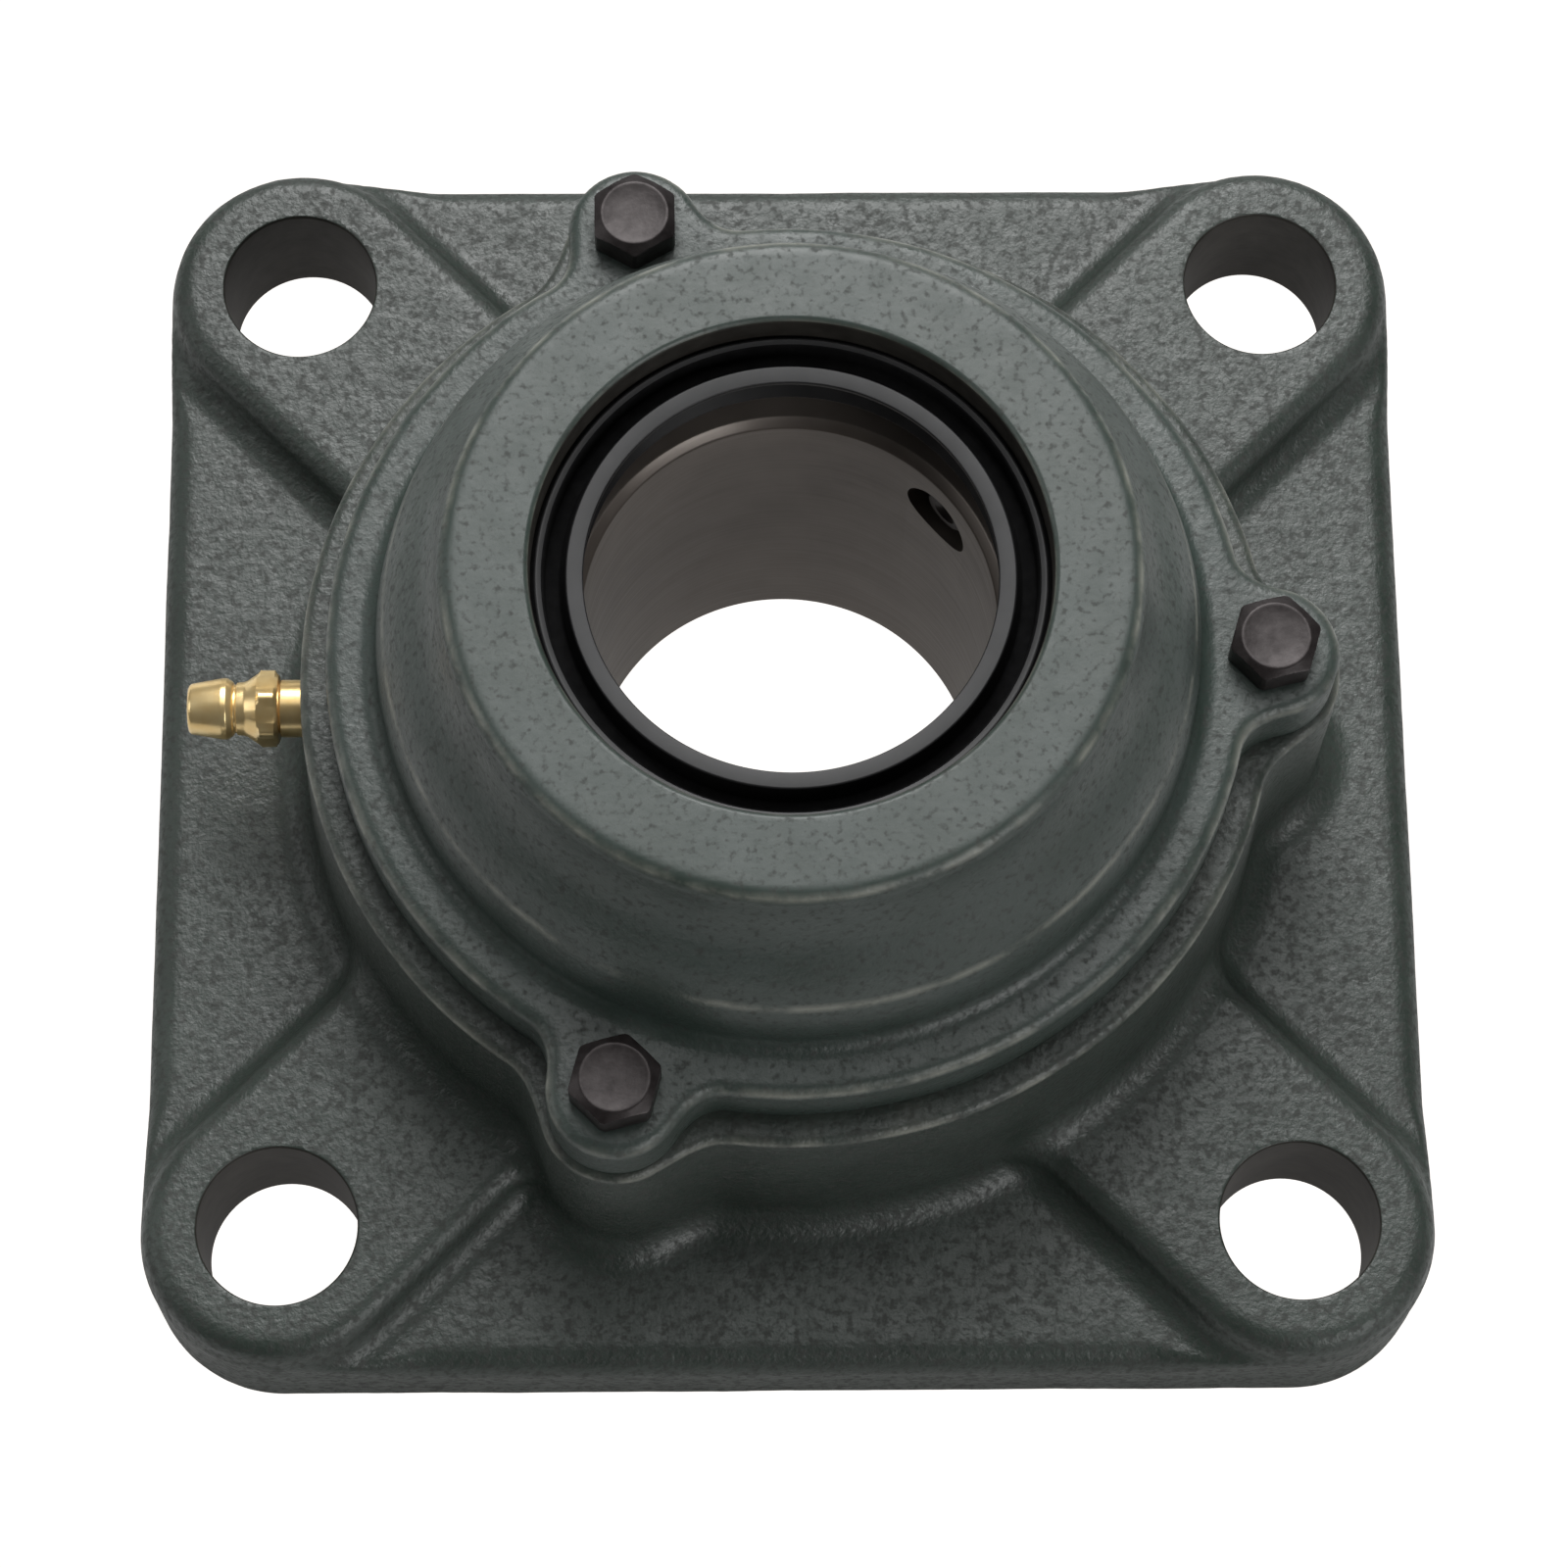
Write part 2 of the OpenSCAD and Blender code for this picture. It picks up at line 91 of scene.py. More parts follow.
BOLT_HOLE_R = MOUNTS["mounting_bolts"]["dims"]["hole_r_mm"]

# ---- sizes of the castings and the small parts ----

# The plate, its bosses and the pads that join them to the hub.
PLATE_TOP = 11.0
BOSS_TOP = 15.5
CORNER_R = PLATE_HALF - BOLT_AT
PAD_DRAFT = 0.16
PAD_EDGE = 2.1
PAD_FILLET = 2.5
BOSS_RIM_EDGE = 0.5
PLATE_RIM_EDGE = 3.0
BOLT_HOLE_EDGE = 0.45
BACK_STOCK = 0.4
BACK_EDGE = 0.8

# The hub and the holes machined in it.
HUB_R = 48.3
HUB_DRAFT = 1.0
HUB_EDGE = 0.9
HUB_FILLET = 4.0
HUB_EAR_R = 7.6
HUB_EAR_DRAFT = 0.3
EAR_FILLET = 4.0
COUNTERBORE_R = 42.0
COUNTERBORE_Z = 32.0
SEAT_HOLE_R = 38.5
SEAT_GAP = 0.03
LEAD_IN = 1.5
SLOT_GAP = 0.4
GREASE_DUCT_R = 1.2
NIPPLE_RECESS_R = 4.4
NIPPLE_RECESS_FLOOR = 47.7
NIPPLE_HOLE_FLOOR = 44

# The cover: its flange, the hat's drum, slope and neck, and the hollow inside.
FLANGE_R = 45.3
FLANGE_TOP = HUB_TOP + 7.0
FLANGE_EDGE = 1.4
COVER_EAR_R = 6.8
DRUM_R = 40.2
DRUM_DRAFT = 0.05
DRUM_FILLET = 1.7
SHOULDER_Z = 51.3
SHOULDER_EDGE = 2.4
SLOPE_POINT = (33.6, 60.4)
SLOPE_NORMAL = (0.8124, 0.5831)
SLOPE_END_Z = 62.0
NECK_R = 33.3
NECK_FILLET = 2.4
FACE_EDGE = 1.7
COVER_CAST_FOOT = 31.2
SPIGOT_R = 41.9
SPIGOT_BORE_R = 39.2
CAVITY_R = 34.6
CAVITY_WALL_TOP = 51.1
SEAL_LEDGE_R = 29.0

# The rubber of the cover's seal.
SEAL_LIP_R = BORE_R - 0.5
SEAL_LIP_ROOT_R = 21.15
CHANNEL_R = 23.3
CHANNEL_FLOOR = SEAL_TOP - 2.3
MAIN_LIP_FOOT = 57.2
SEAL_CASE_R = 23.1
SEAL_CASE_TOP = 59.3

# The screws, the grease nipple and the insert.
SCREW_CIRCLE_R = 47.3
SCREW_ANGLES = (-0.4, 108.5, 249.2)
SCREW_FLATS = 8.0
SCREW_TURNS = (-16.0, 12.0, 36.0)
SCREW_R = 2.5
SCREW_CLEARANCE_R = 2.8
SCREW_HOLE_DEPTH = 16
SET_SCREW_ANGLES = (42.0, -78.0)
SET_SCREW_R = 4.0
NIPPLE_FLATS = 7.0
NIPPLE_THREAD_R = 2.9
BALL_R = 5.953
BALL_CIRCLE_R = 30.0
RACE_GAP = 0.025
GROOVE_R = 0.515 * 2 * BALL_R
HEX_BLUNTING = 0.12

# Height and half width of the ridges where a pale ring is laid into the paint as a painted
# highlight.
HUB_HIGHLIGHT_RIDGES = [(HUB_TOP - 0.55, 0.5)]
COVER_HIGHLIGHT_RIDGES = [(FLANGE_TOP - 0.75, 0.6), (SHOULDER_Z, 0.8), (COVER_TOP - 0.5, 0.4)]

# Width, seed and depth of each layer of hollows in the cast surface.
RELIEF = [(9.0, 3, 0.045), (3.0, 5, 0.022), (1.1, 7, 0.014)]
RELIEF_ON_FACE = 0.2

CAST_STEP = 0.5

# ---- the camera's view, in degrees, metres and millimetres of lens, and the lights ----

VIEW_AZIMUTH = -2.676
VIEW_ELEVATION = 71.583
VIEW_ROLL = 2.295
VIEW_DISTANCE = 0.51275
VIEW_LENS = 111.07
AIM_RIGHT = 0.00011
AIM_UP = 0.00021
LIGHT_DISTANCE = 1.3
LIGHT_SIZE = 0.8
FLOOR_HALF = 2500


# ---- distance fields ----

def joined(a, b, fillet):
    """Distance to the union of two shapes, with a fillet in the corner where they meet."""
    near_both = np.hypot(np.maximum(fillet - a, 0), np.maximum(fillet - b, 0))
    return np.maximum(fillet, np.minimum(a, b)) - near_both


def shared(a, b, rounding):
    """Distance to what two shapes share, with the edge between them rounded."""
    past_both = np.hypot(np.maximum(rounding + a, 0), np.maximum(rounding + b, 0))
    return np.minimum(-rounding, np.maximum(a, b)) + past_both


def ease(value, start, end):
    """0 before start, 1 after end, and a smooth ramp between them."""
    t = np.clip((value - start) / (end - start), 0, 1)
    return t * t * (3 - 2 * t)


def eared_ring(x, y, ring_r, ear_r):
    """Plan distance to a disc with its three screw ears, filleted together."""
    outline = np.hypot(x, y) - ring_r
    for angle in SCREW_ANGLES:
        ear_x = SCREW_CIRCLE_R * math.cos(math.radians(angle))
        ear_y = SCREW_CIRCLE_R * math.sin(math.radians(angle))
        outline = joined(outline, np.hypot(x - ear_x, y - ear_y) - ear_r, EAR_FILLET)
    return outline


def plate_field(x, y, z):
    """Sides and top of the square plate with its bosses and pads, and the rounding between."""
    ax, ay = np.abs(x), np.abs(y)
    side = np.hypot(np.maximum(ax - BOLT_AT, 0), np.maximum(ay - BOLT_AT, 0)) - CORNER_R
    along = np.clip((ax + ay) / 2, 0, BOLT_AT)
    pad_r = CORNER_R - PAD_DRAFT * (z - PLATE_TOP)
    pad_side = np.hypot(ax - along, ay - along) - pad_r
    pad = shared(pad_side, z - BOSS_TOP, PAD_EDGE)
    top = joined(z - PLATE_TOP, pad, PAD_FILLET)
    from_boss = np.hypot(ax - BOLT_AT, ay - BOLT_AT)
    off_boss = ease(from_boss, CORNER_R + 0.5, CORNER_R + 6)
    edge = BOSS_RIM_EDGE + (PLATE_RIM_EDGE - BOSS_RIM_EDGE) * off_boss
    return side, top, edge


def housing_field(x, y, z):
    """The whole housing casting, before any machining."""
    side, top, edge = plate_field(x, y, z)
    draft = HUB_DRAFT * (HUB_TOP - z) / (HUB_TOP - PLATE_TOP)
    hub = eared_ring(x, y, HUB_R + draft, HUB_EAR_R + HUB_EAR_DRAFT * draft)
    hub = shared(hub, z - HUB_TOP, HUB_EDGE)
    body = shared(side, joined(top, hub, HUB_FILLET), edge)
    return shared(body, -BACK_STOCK - z, BACK_EDGE)


def cover_field(x, y, z):
    """The whole cover casting, before any machining: its eared flange and the stepped hat."""
    r = np.hypot(x, y)
    flange = shared(eared_ring(x, y, FLANGE_R, COVER_EAR_R), z - FLANGE_TOP, FLANGE_EDGE)
    drum = r - (DRUM_R - DRUM_DRAFT * (z - FLANGE_TOP))
    slope = SLOPE_NORMAL[0] * (r - SLOPE_POINT[0]) + SLOPE_NORMAL[1] * (z - SLOPE_POINT[1])
    shoulder = np.maximum(shared(drum, slope, SHOULDER_EDGE), z - SLOPE_END_Z)
    neck = shared(r - NECK_R, z - COVER_TOP, FACE_EDGE)
    hat = joined(shoulder, neck, NECK_FILLET)
    return np.maximum(joined(flange, hat, DRUM_FILLET), COVER_CAST_FOOT - z)


# ---- meshes ----

def new_object(name, vertices, faces):
    """Object from vertices in millimetres, linked to the scene, with its faces turned outwards."""
    mesh = bpy.data.meshes.new(name)
    mesh.from_pydata((np.asarray(vertices, float) * MM).tolist(), [], faces)
    shape = bmesh.new()
    shape.from_mesh(mesh)
    bmesh.ops.recalc_face_normals(shape, faces=shape.faces)
    shape.to_mesh(mesh)
    shape.free()
    obj = bpy.data.objects.new(name, mesh)
    bpy.context.scene.collection.objects.link(obj)
    return obj


def lumps(points, size, seed):
    """Smooth random values from -1 to 1 at the points, with features about size across."""
    count = 32
    lattice = np.random.default_rng(seed).uniform(-1, 1, (count, count, count))
    cell = np.floor(points / size).astype(int)
    part = points / size - cell
    part = part * part * (3 - 2 * part)
    total = np.zeros(len(points))
    for corner in itertools.product((0, 1), repeat=3):
        weight = np.prod(np.where(corner, part, 1 - part), axis=1)
        i, j, k = ((cell + corner) % count).T
        total += weight * lattice[i, j, k]
    return total


def slopes(field, points):
    """Value and gradient of a field at the points."""
    reach = 0.02
    value = field(*points.T)
    gradient = np.empty_like(points)
    for axis in range(3):
        step = np.zeros(3)
        step[axis] = reach
        ahead, behind = field(*(points + step).T), field(*(points - step).T)
        gradient[:, axis] = (ahead - behind) / (2 * reach)
    return value, gradient


def hollows(points):
    """Depth of the hollows in the cast surface; the cover's front face is nearly smooth."""
    depths = sum((1 - lumps(points, size, seed)) * depth for size, seed, depth in RELIEF)
    on_face = ease(points[:, 2], COVER_TOP - 0.5, COVER_TOP - 0.1)
    return depths * (1 - (1 - RELIEF_ON_FACE) * on_face)


def cast_skin(name, field, low, high):
    """Closed mesh of a field's zero surface, with the shallow hollows of sand casting."""
    step = CAST_STEP
    axes = [np.arange(a, b + step, step) for a, b in zip(low, high)]
    values = field(*np.meshgrid(*axes, indexing="ij")).astype(np.float32)
    cells = tuple(n - 1 for n in values.shape)
    crossings = []
    used = np.zeros(cells, bool)
    for axis in range(3):
        first = np.take(values, range(values.shape[axis] - 1), axis)
        second = np.take(values, range(1, values.shape[axis]), axis)
        at = np.argwhere((first < 0) != (second < 0))
        f, s = first[tuple(at.T)], second[tuple(at.T)]
        u, v = (axis + 1) % 3, (axis + 2) % 3
        around = []
        for du, dv in ((-1, -1), (0, -1), (0, 0), (-1, 0)):
            cell = at.copy()
            cell[:, u] += du
            cell[:, v] += dv
            around.append(cell)
            used[tuple(cell.T)] = True
        point = at.astype(float)
        point[:, axis] += f / (f - s)
        crossings.append((around, point, f < 0))
    ids = np.full(cells, -1)
    ids[used] = np.arange(used.sum())
    total = np.zeros((used.sum(), 3))
    count = np.zeros(used.sum())
    quads = []
    for around, point, leaving in crossings:
        corners = np.stack([ids[tuple(cell.T)] for cell in around], axis=1)
        for corner in corners.T:
            count += np.bincount(corner, minlength=len(count))
            for k in range(3):
                total[:, k] += np.bincount(corner, point[:, k], minlength=len(count))
        quads.append(np.where(leaving[:, None], corners, corners[:, ::-1]))
    points = np.asarray(low) + step * total / count[:, None]
    for _ in range(4):
        value, gradient = slopes(field, points)
        move = gradient * (value / np.maximum((gradient ** 2).sum(1), 0.05))[:, None]
        points -= np.clip(move, -step / 2, step / 2)
    gradient = slopes(field, points)[1]
    normal = gradient / np.maximum(np.linalg.norm(gradient, axis=1), 0.1)[:, None]
    points -= normal * hollows(points)[:, None]
    return new_object(name, points, np.concatenate(quads).tolist())


def rounded(corners, steps=6):
    """Closed outline through corners (r, z, rounding), each rounded corner drawn as an arc."""
    outline = []
    for i, (r, z, rounding) in enumerate(corners):
        here = Vector((r, z))
        if not rounding:
            outline.append(here)
            continue
        before = (Vector(corners[i - 1][:2]) - here).normalized()
        after = (Vector(corners[(i + 1) % len(corners)][:2]) - here).normalized()
        half = before.angle(after) / 2
        centre = here + (before + after).normalized() * (rounding / math.sin(half))
        start = here + before * (rounding / math.tan(half)) - centre
        end = here + after * (rounding / math.tan(half)) - centre
        sweep = math.pi - 2 * half
        for k in range(steps + 1):
            t = k / steps
            mixed = start * math.sin((1 - t) * sweep) + end * math.sin(t * sweep)
            outline.append(centre + mixed / math.sin(sweep))
    return outline


def turned(name, outline, sides, flats=None, place=Matrix.Identity(4)):
    """Solid turned from a closed (r, z) outline about Z, milled to a hexagon if flats is given."""
    angles = np.arange(sides) * 2 * math.pi / sides
    limit = np.full(sides, np.inf)
    if flats:
        off_flat = (angles + math.pi / 6) % (math.pi / 3) - math.pi / 6
        corner_r = flats / 2 / math.cos(math.pi / 6)
        limit = np.minimum(flats / 2 / np.cos(off_flat), corner_r - HEX_BLUNTING)
    vertices, rows = [], []
    for r, z in outline:
        first = len(vertices)
        if r < 1e-6:
            vertices.append((0, 0, z))
            rows.append([first] * sides)
            continue
        reach = np.minimum(r, limit)
        vertices += [(q * math.cos(a), q * math.sin(a), z) for q, a in zip(reach, angles)]
        rows.append(list(range(first, first + sides)))
    faces = []
    for low, high in zip(rows, rows[1:] + rows[:1]):
        for k in range(sides):
            n = (k + 1) % sides
            face = [low[k], low[n], high[n], high[k]]
            face = [v for i, v in enumerate(face) if v != face[i - 1]]
            if len(face) > 2:
                faces.append(face)
    return new_object(name, [place @ Vector(v) for v in vertices], faces)


def block(name, low, high):
    """Rectangular block between two corners."""
    vertices = list(itertools.product(*zip(low, high)))
    faces = [
        (0, 1, 3, 2), (4, 5, 7, 6), (0, 1, 5, 4),
        (2, 3, 7, 6), (0, 2, 6, 4), (1, 3, 7, 5),
    ]
    return new_object(name, vertices, faces)


def at_angle(angle, radius, height):
    """Placement at a radius and angle round the bore axis, turned with the angle."""
    turn = Matrix.Rotation(math.radians(angle), 4, "Z")
    return turn @ Matrix.Translation((radius, 0, height))


def outwards(angle, height):
    """Placement whose Z axis runs outwards from the bore axis at an angle and height."""
    turn = Matrix.Rotation(math.radians(angle), 4, "Z")
    return Matrix.Translation((0, 0, height)) @ turn @ Matrix.Rotation(math.pi / 2, 4, "Y")


def bake_modifiers(obj):
    """Turns an object's modifiers into its mesh."""
    depsgraph = bpy.context.evaluated_depsgraph_get()
    mesh = bpy.data.meshes.new_from_object(obj.evaluated_get(depsgraph))
    obj.modifiers.clear()
    obj.data = mesh


def cut(obj, cutters):
    """Takes the cutters away from an object, and deletes them."""
    for cutter in cutters:
        modifier = obj.modifiers.new("cut", "BOOLEAN")
        modifier.operation = "DIFFERENCE"
        modifier.solver = "MANIFOLD"
        modifier.object = cutter
    bake_modifiers(obj)
    obj.data.materials.clear()
    for cutter in cutters:
        bpy.data.objects.remove(cutter)


def shade(obj, crease):
    """Smooth shading, broken where faces meet at more than the crease angle."""
    mesh = obj.data
    mesh.polygons.foreach_set("use_smooth", np.ones(len(mesh.polygons), bool))
    mesh.set_sharp_from_angle(angle=math.radians(crease))


def finish_piece(obj, body, nodes, materials, crease=40):
    """Shades a piece, gives it its materials and ties it to the frame."""
    shade(obj, crease)
    for material in materials:
        obj.data.materials.append(material)
    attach(obj, body)
    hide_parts(*nodes)


def assign_faces(obj, choose):
    """Sets each face's material number from its centre and normal, given in millimetres."""
    mesh = obj.data
    centres = np.empty(len(mesh.polygons) * 3, np.float32)
    normals = np.empty(len(mesh.polygons) * 3, np.float32)
    mesh.polygons.foreach_get("center", centres)
    mesh.polygons.foreach_get("normal", normals)
    numbers = choose(centres.reshape(-1, 3) / MM, normals.reshape(-1, 3))
    mesh.polygons.foreach_set("material_index", numbers.astype(np.int32))
    mesh.update()


# ---- materials ----

class Shader:
    """A new material's node tree, with short ways to add its nodes."""

    def __init__(self, name, metallic, roughness, specular=0.5):
        self.material = bpy.data.materials.new(name)
        self.material.use_nodes = True
        self.nodes = self.material.node_tree.nodes
        self.links = self.material.node_tree.links
        self.surface = self.nodes["Principled BSDF"]
        self.surface.inputs["Metallic"].default_value = metallic
        self.surface.inputs["Roughness"].default_value = roughness
        self.surface.inputs["Specular IOR Level"].default_value = specular
        self.place = self.nodes.new("ShaderNodeTexCoord").outputs["Object"]

    def stretched(self, x, y, z):
        """Coordinates scaled along each axis, for grain that runs one way."""
        node = self.nodes.new("ShaderNodeMapping")
        node.inputs["Scale"].default_value = (x, y, z)
        self.links.new(self.place, node.inputs["Vector"])
        return node.outputs["Vector"]

    def noise(self, size, detail=2.0, roughness=0.5, place=None):
        """Noise whose features are about size millimetres across."""
        node = self.nodes.new("ShaderNodeTexNoise")
        node.inputs["Scale"].default_value = 1 / (size * MM)
        node.inputs["Detail"].default_value = detail
        node.inputs["Roughness"].default_value = roughness
        self.links.new(place or self.place, node.inputs["Vector"])
        return node.outputs["Fac"]

    def ramp(self, value, *stops):
        """Colours or greys at positions along a value from 0 to 1."""
        node = self.nodes.new("ShaderNodeValToRGB")
        elements = node.color_ramp.elements
        while len(elements) < len(stops):
            elements.new(0.5)
        for element, (position, colour) in zip(elements, stops):
            element.position = position
            grey = isinstance(colour, (int, float))
            element.color = (colour, colour, colour, 1) if grey else (*colour, 1)
        self.links.new(value, node.inputs["Fac"])
        return node.outputs["Color"]

    def mixed(self, share, first, second, mode="MIX"):
        """Mix of two colours by a share, which is a number or a socket."""
        node = self.nodes.new("ShaderNodeMix")
        node.data_type = "RGBA"
        node.blend_type = mode
        for number, value in ((0, share), (6, first), (7, second)):
            socket = node.inputs[number]
            if isinstance(value, bpy.types.NodeSocket):
                self.links.new(value, socket)
            elif isinstance(value, (int, float)):
                socket.default_value = value
            else:
                socket.default_value = (*value, 1)
        return node.outputs[2]

    def clouds(self, size, detail, first, second, roughness=0.5):
        """Patches about size millimetres across, between two colours or greys."""
        return self.ramp(self.noise(size, detail, roughness), (0.3, first), (0.7, second))

    def bump(self, height, distance, strength):
        """Relief from a height value, distance millimetres deep."""
        node = self.nodes.new("ShaderNodeBump")
        node.inputs["Distance"].default_value = distance * MM
        node.inputs["Strength"].default_value = strength
        self.links.new(height, node.inputs["Height"])
        return node.outputs["Normal"]

    def height(self, start, end):
        """Runs from 0 to 1 between two heights above the mounting face, in millimetres."""
        split = self.nodes.new("ShaderNodeSeparateXYZ")
        self.links.new(self.place, split.inputs["Vector"])
        node = self.nodes.new("ShaderNodeMapRange")
        node.inputs["From Min"].default_value = start * MM
        node.inputs["From Max"].default_value = end * MM
        self.links.new(split.outputs["Z"], node.inputs["Value"])
        return node.outputs["Result"]

    def ridge(self, height, half):
        """1 at a height in millimetres, falling to 0 at half above and below it."""
        rise = self.height(height - half, height)
        fall = self.height(height + half, height)
        return self.mixed(1.0, rise, fall, "MULTIPLY")

    def set(self, **sockets):
        """Links sockets of the surface by name, with _ for a space."""
        for name, value in sockets.items():
            self.links.new(value, self.surface.inputs[name.replace("_", " ")])
        return self.material


def cast_paint(name, dark, light, grain_depth, spot_share, highlight_heights, smooth_top=False):
    """Dark green paint over sand-cast iron: a fine grain, small dark spots and painted highlights on
    the ridges.
    """
    # The pale second colour here is a painted highlight for the ridges.
    spot_colour, highlight_colour = (0.016, 0.017, 0.014), (0.23, 0.235, 0.20)
    shader = Shader(name, 0.0, 0.45, 0.62)
    grain = shader.noise(0.7, 2.0, 0.6)
    coarse = shader.noise(1.8, 2.0, 0.5)
    depth = shader.mixed(0.25, grain, coarse)
    spots = shader.noise(0.75, 2.0, 0.55)
    spots = shader.ramp(spots, (spot_share - 0.08, 0.65), (spot_share + 0.10, 0.0))
    tone = shader.ramp(shader.noise(9.0, 3.0), (0.35, dark), (0.65, light))
    colour = shader.mixed(spots, tone, spot_colour)
    gloss = shader.clouds(2.6, 2.0, 0.48, 0.40)
    gloss = shader.mixed(spots, gloss, (0.75, 0.75, 0.75))
    if smooth_top:
        top = shader.height(COVER_TOP - 0.8, COVER_TOP - 0.1)
        shallow = shader.mixed(0.75, depth, (0.5, 0.5, 0.5))
        depth = shader.mixed(top, depth, shallow)
    # Painted highlight: pale rings at the ridge heights, broken into patches by noise, stand in for
    # light caught on the edges.
    highlight_patches = shader.ramp(shader.noise(5.0, 4.0, 0.6), (0.40, 0.05), (0.62, 0.75))
    for height, half in highlight_heights:
        share = shader.mixed(1.0, shader.ridge(height, half), highlight_patches, "MULTIPLY")
        colour = shader.mixed(share, colour, highlight_colour)
    skin = shader.bump(depth, grain_depth, 0.7)
    return shader.set(Base_Color=colour, Roughness=gloss, Normal=skin)


def bare_iron():
    """Machined cast iron: fine grey cuts with a little dark graphite."""
    shader = Shader("bare_iron", 0.85, 0.38)
    flecks = shader.noise(0.5, 3.0, 0.7)
    flecks = shader.ramp(flecks, (0.3, (0.10, 0.095, 0.09)), (0.55, (0.32, 0.31, 0.30)))
    skin = shader.bump(shader.noise(0.3, 2.0), 0.02, 0.4)
    return shader.set(Base_Color=flecks, Normal=skin)


def drilled_wall():
    """Wall of a bolt hole: drilled iron under a thin dark coat."""
    shader = Shader("drilled_wall", 0.3, 0.5)
    tone = shader.clouds(2.0, 3.0, (0.030, 0.027, 0.023), (0.05, 0.046, 0.04))
    rings = shader.noise(0.5, 2.0, 0.5, shader.stretched(0.15, 0.15, 1.0))
    return shader.set(Base_Color=tone, Normal=shader.bump(rings, 0.03, 0.5))


def black_oxide():
    """Dark brown-black oxide on the screws."""
    shader = Shader("black_oxide", 0.55, 0.42)
    tone = shader.clouds(1.5, 4.0, (0.016, 0.012, 0.012), (0.040, 0.034, 0.034), 0.6)
    skin = shader.bump(shader.noise(0.5, 3.0, 0.6), 0.04, 0.5)
    return shader.set(Base_Color=tone, Normal=skin)


def ring_black():
    """Ground bearing steel with a dark brown oxide film, its grinding lines round the bore."""
    shader = Shader("ring_black", 0.4, 0.40)
    lines = shader.noise(0.35, 3.0, 0.6, shader.stretched(0.02, 0.02, 1.0))
    tone = shader.clouds(6.0, 3.0, (0.150, 0.128, 0.112), (0.190, 0.165, 0.146))
    gloss = shader.ramp(lines, (0.3, 0.30), (0.7, 0.42))
    return shader.set(Base_Color=tone, Roughness=gloss, Normal=shader.bump(lines, 0.01, 0.35))


def seal_rubber():
    """Black nitrile rubber with a faint moulded grain."""
    shader = Shader("seal_rubber", 0.0, 0.45, 0.38)
    tone = shader.clouds(3.0, 2.0, (0.007, 0.007, 0.0075), (0.014, 0.014, 0.015))
    return shader.set(Base_Color=tone, Normal=shader.bump(shader.noise(0.3, 2.0), 0.01, 0.3))


def channel_shade_rubber():
    """Black rubber in the depth of the seal's channel, darker and duller than the rest of the seal:
    painted shade for the recess.
    """
    shader = Shader("channel_shade_rubber", 0.0, 0.95, 0.08)
    tone = shader.clouds(1.0, 2.0, (0.0035, 0.0035, 0.0037), (0.006, 0.006, 0.0063))
    return shader.set(Base_Color=tone, Normal=shader.bump(shader.noise(0.3, 2.0), 0.01, 0.3))


def brass():
    """Turned brass, its colour a little uneven, with fine lathe lines."""
    shader = Shader("brass", 0.75, 0.28)
    tone = shader.clouds(2.5, 3.0, (0.84, 0.58, 0.24), (0.97, 0.76, 0.40))
    lines = shader.noise(0.25, 2.0, 0.5, shader.stretched(1.0, 0.05, 0.05))
    return shader.set(Base_Color=tone, Normal=shader.bump(lines, 0.008, 0.3))


def plain_metal(name, dark, light, roughness, grain):
    """Bright or plated steel with a light cloudiness and a fine grain."""
    shader = Shader(name, 1.0, roughness)
    tone = shader.clouds(2.0, 3.0, dark, light)
    return shader.set(Base_Color=tone, Normal=shader.bump(shader.noise(grain, 2.0), 0.01, 0.3))


MATERIALS = {
    "cast_paint": cast_paint(
        "cast_paint", (0.020, 0.029, 0.023), (0.028, 0.039, 0.032),
        grain_depth=0.21, spot_share=0.42, highlight_heights=HUB_HIGHLIGHT_RIDGES,
    ),
    "cover_paint": cast_paint(
        "cover_paint", (0.025, 0.038, 0.031), (0.033, 0.047, 0.041),
        grain_depth=0.15, spot_share=0.37, highlight_heights=COVER_HIGHLIGHT_RIDGES, smooth_top=True,
    ),
    "bare_iron": bare_iron(),
    "drilled_wall": drilled_wall(),
    "screw_black": black_oxide(),
    "seal_rubber": seal_rubber(),
    "channel_shade_rubber": channel_shade_rubber(),
    "brass": brass(),
    "ring_black": ring_black(),
}
for name, dark, light, roughness, grain in (
    ("zinc_steel", (0.36, 0.36, 0.35), (0.50, 0.50, 0.48), 0.38, 0.4),
    ("spring_steel", (0.28, 0.27, 0.26), (0.40, 0.39, 0.38), 0.3, 0.2),
    ("ball_steel", (0.56, 0.56, 0.57), (0.62, 0.62, 0.63), 0.08, 0.5),
    ("ring_steel", (0.34, 0.33, 0.32), (0.44, 0.43, 0.42), 0.3, 0.3),
    ("flinger_steel", (0.24, 0.23, 0.22), (0.34, 0.33, 0.32), 0.4, 0.4),
):
    MATERIALS[name] = plain_metal(name, dark, light, roughness, grain)


# ---- the castings; a cutter runs one to three millimetres past the face it opens ----

def bolt_hole_cutter(x, y):
    """Cutter for a bolt hole whose mouth in the boss is rounded over."""
    wide = BOLT_HOLE_R + BOLT_HOLE_EDGE + 0.6
    outline = rounded([
        (0, -1, 0), (BOLT_HOLE_R, -1, 0), (BOLT_HOLE_R, BOSS_TOP, BOLT_HOLE_EDGE),
        (wide, BOSS_TOP, 0), (wide, BOSS_TOP + 2, 0), (0, BOSS_TOP + 2, 0),
    ])
    return turned("cutter", outline, 96, place=Matrix.Translation((x, y, 0)))


def rod_cutter(radius, start, end, place):
    """Cutter for a plain round hole along the placement's Z axis."""
    outline = [(0, start), (radius, start), (radius, end), (0, end)]
    return turned("cutter", outline, 64, place=place)


